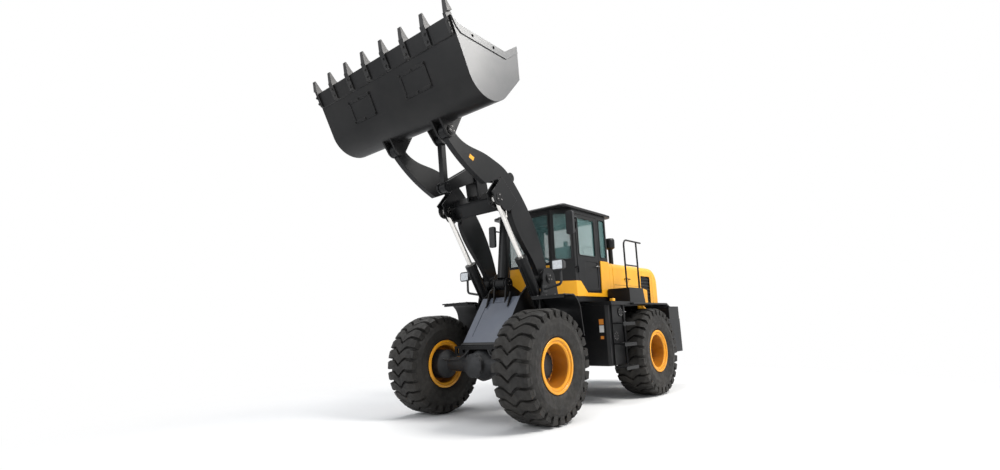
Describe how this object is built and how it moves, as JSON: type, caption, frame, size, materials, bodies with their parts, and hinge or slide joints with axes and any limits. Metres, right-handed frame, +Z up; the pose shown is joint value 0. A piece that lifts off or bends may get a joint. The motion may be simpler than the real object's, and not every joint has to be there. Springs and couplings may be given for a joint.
{
  "type": "wheel loader",
  "caption": "Articulated wheel loader with a raised Z-bar boom, toothed bucket, glazed cab, tilting hood, rear counterweight and large lugged tyres.",
  "frame": {"origin": "on the ground under the middle of the overall length and width", "axes": "+X to the machine's left, +Y to its rear, +Z up"},
  "size_m": [3, 7.0192, 5.1815],
  "materials": {
    "yellow_paint": "semi-gloss yellow-orange paint",
    "black_paint": "semi-gloss near-black paint",
    "grey_paint": "grey primer-like paint on the bucket and front plate",
    "tyre_rubber": "matt",
    "chrome_rod": "polished hard chrome",
    "glass": "light teal tint",
    "seat_fabric": "dark woven cloth",
    "black_plastic": "fine grain",
    "lamp_plastic": "clear and amber lenses in black bodies",
    "dark_steel": "cast and painted dark"
  },
  "bodies": {
    "rear_frame": {"rear_frame": "black_paint", "rear_axle": "black_paint", "rear_drive_shaft": "dark_steel", "transmission": "dark_steel", "engine_block": "dark_steel", "hood_front_panel": "yellow_paint", "counterweight": "black_paint", "tow_hitch": "black_paint", "tail_lamps": "lamp_plastic", "side_tanks": "black_paint", "decks": "black_paint", "ladders": "black_paint", "handrails": "black_paint", "rear_fenders": "black_paint", "cab_frame": "black_paint", "cab_skirt": "yellow_paint", "cab_roof": "black_paint", "cab_glass": "glass", "seat": "seat_fabric", "steering_console": "black_plastic", "mirrors": "black_plastic", "roof_lamps": "lamp_plastic"},
    "front_frame": {"front_frame": "black_paint", "front_crossbar": "black_paint", "front_axle": "black_paint", "front_drive_shaft": "dark_steel", "front_fenders": "black_paint", "headlamps": "lamp_plastic"},
    "boom": {"lift_arm_left": "black_paint", "lift_arm_right": "black_paint", "boom_cross_beam": "black_paint"},
    "bellcrank": {"bellcrank": "black_paint"},
    "bucket_link": {"bucket_link": "black_paint"},
    "bucket": {"bucket": "black_paint", "bucket_teeth": "dark_steel"},
    "lift_barrels": {"lift_cylinder_barrels": "black_paint"},
    "lift_rods": {"lift_cylinder_rods": "chrome_rod"},
    "tilt_barrel": {"tilt_cylinder_barrel": "black_paint"},
    "tilt_rod": {"tilt_cylinder_rod": "chrome_rod"},
    "steering_barrel_left": {"steering_barrel_left": "black_paint"},
    "steering_rod_left": {"steering_rod_left": "chrome_rod"},
    "steering_barrel_right": {"steering_barrel_right": "black_paint"},
    "steering_rod_right": {"steering_rod_right": "chrome_rod"},
    "cab_door": {"cab_door": "black_paint", "door_glass": "glass"},
    "hood": {"hood": "yellow_paint", "intake_and_exhaust": "black_paint"},
    "wheel_front_left": {"tyre_front_left": "tyre_rubber", "rim_front_left": "yellow_paint"},
    "wheel_front_right": {"tyre_front_right": "tyre_rubber", "rim_front_right": "yellow_paint"},
    "wheel_rear_left": {"tyre_rear_left": "tyre_rubber", "rim_rear_left": "yellow_paint"},
    "wheel_rear_right": {"tyre_rear_right": "tyre_rubber", "rim_rear_right": "yellow_paint"}
  },
  "joints": [
    {"name": "articulation", "type": "hinge", "parent": "rear_frame", "child": "front_frame", "pos_m": [0, 0.22, 0.93], "axis": [0, 0, 1], "range_deg": [-35, 35]},
    {"name": "boom_lift", "type": "hinge", "parent": "front_frame", "child": "boom", "pos_m": [0, -0.55, 2.07], "axis": [-1, 0, 0], "range_deg": [-80, 0]},
    {"name": "bucket_tilt", "type": "hinge", "parent": "boom", "child": "bucket", "pos_m": [0, -2.62997, 4.03007], "axis": [1, 0, 0], "range_deg": [-55, 103]},
    {"name": "bellcrank_turn", "type": "hinge", "parent": "boom", "child": "bellcrank", "pos_m": [0, -1.49978, 3.80045], "axis": [1, 0, 0], "range_deg": [-45, 24]},
    {"name": "link_turn", "type": "hinge", "parent": "bucket", "child": "bucket_link", "pos_m": [0, -2.21798, 4.16407], "axis": [1, 0, 0], "range_deg": [-57, 31]},
    {"name": "lift_barrel_swing", "type": "hinge", "parent": "front_frame", "child": "lift_barrels", "pos_m": [0, -0.46, 1.36], "axis": [-1, 0, 0], "range_deg": [-64, 0]},
    {"name": "lift_rod_stroke", "type": "slide", "parent": "lift_barrels", "child": "lift_rods", "axis": [0, -0.5249, 0.8512], "range_m": [-0.775, 0]},
    {"name": "tilt_barrel_swing", "type": "hinge", "parent": "front_frame", "child": "tilt_barrel", "pos_m": [0, -0.9, 2.02], "axis": [-1, 0, 0], "range_deg": [-92, 0]},
    {"name": "tilt_rod_stroke", "type": "slide", "parent": "tilt_barrel", "child": "tilt_rod", "axis": [0, 0.1242, 0.9923], "range_m": [-0.594, 0.318]},
    {"name": "steering_barrel_swing_left", "type": "hinge", "parent": "rear_frame", "child": "steering_barrel_left", "pos_m": [0.53, 0.97, 0.8], "axis": [0, 0, 1], "range_deg": [-12, 12]},
    {"name": "steering_rod_stroke_left", "type": "slide", "parent": "steering_barrel_left", "child": "steering_rod_left", "axis": [0, -1, 0], "range_m": [-0.295, 0.295]},
    {"name": "steering_barrel_swing_right", "type": "hinge", "parent": "rear_frame", "child": "steering_barrel_right", "pos_m": [-0.53, 0.97, 0.8], "axis": [0, 0, 1], "range_deg": [-12, 12]},
    {"name": "steering_rod_stroke_right", "type": "slide", "parent": "steering_barrel_right", "child": "steering_rod_right", "axis": [0, -1, 0], "range_m": [-0.295, 0.295]},
    {"name": "cab_door_swing", "type": "hinge", "parent": "rear_frame", "child": "cab_door", "pos_m": [0.794, 0.19, 2.5], "axis": [0, 0, -1], "range_deg": [0, 90]},
    {"name": "hood_tilt", "type": "hinge", "parent": "rear_frame", "child": "hood", "pos_m": [0, 3.31, 1.53], "axis": [-1, 0, 0], "range_deg": [0, 45]},
    {"name": "wheel_spin_front_left", "type": "hinge", "parent": "front_frame", "child": "wheel_front_left", "pos_m": [1.095, -1.42, 0.78], "axis": [1, 0, 0], "continuous": true},
    {"name": "wheel_spin_front_right", "type": "hinge", "parent": "front_frame", "child": "wheel_front_right", "pos_m": [-1.095, -1.42, 0.78], "axis": [1, 0, 0], "continuous": true},
    {"name": "wheel_spin_rear_left", "type": "hinge", "parent": "rear_frame", "child": "wheel_rear_left", "pos_m": [1.095, 1.86, 0.78], "axis": [1, 0, 0], "continuous": true},
    {"name": "wheel_spin_rear_right", "type": "hinge", "parent": "rear_frame", "child": "wheel_rear_right", "pos_m": [-1.095, 1.86, 0.78], "axis": [1, 0, 0], "continuous": true}
  ],
  "couplings": [
    {"joint": "bellcrank_turn", "follows": "bucket_tilt", "ratio": -0.43},
    {"joint": "link_turn", "follows": "bucket_tilt", "ratio": -0.55},
    {"joint": "tilt_rod_stroke", "follows": "bucket_tilt", "m_per_rad": -0.33},
    {"joint": "lift_barrel_swing", "follows": "boom_lift", "ratio": 0.799},
    {"joint": "lift_rod_stroke", "follows": "boom_lift", "m_per_rad": 0.5544},
    {"joint": "tilt_barrel_swing", "follows": "boom_lift", "ratio": 1.149},
    {"joint": "steering_barrel_swing_left", "follows": "articulation", "ratio": 0.33},
    {"joint": "steering_barrel_swing_right", "follows": "articulation", "ratio": 0.33},
    {"joint": "steering_rod_stroke_left", "follows": "articulation", "m_per_rad": -0.48},
    {"joint": "steering_rod_stroke_right", "follows": "articulation", "m_per_rad": 0.48}
  ]
}
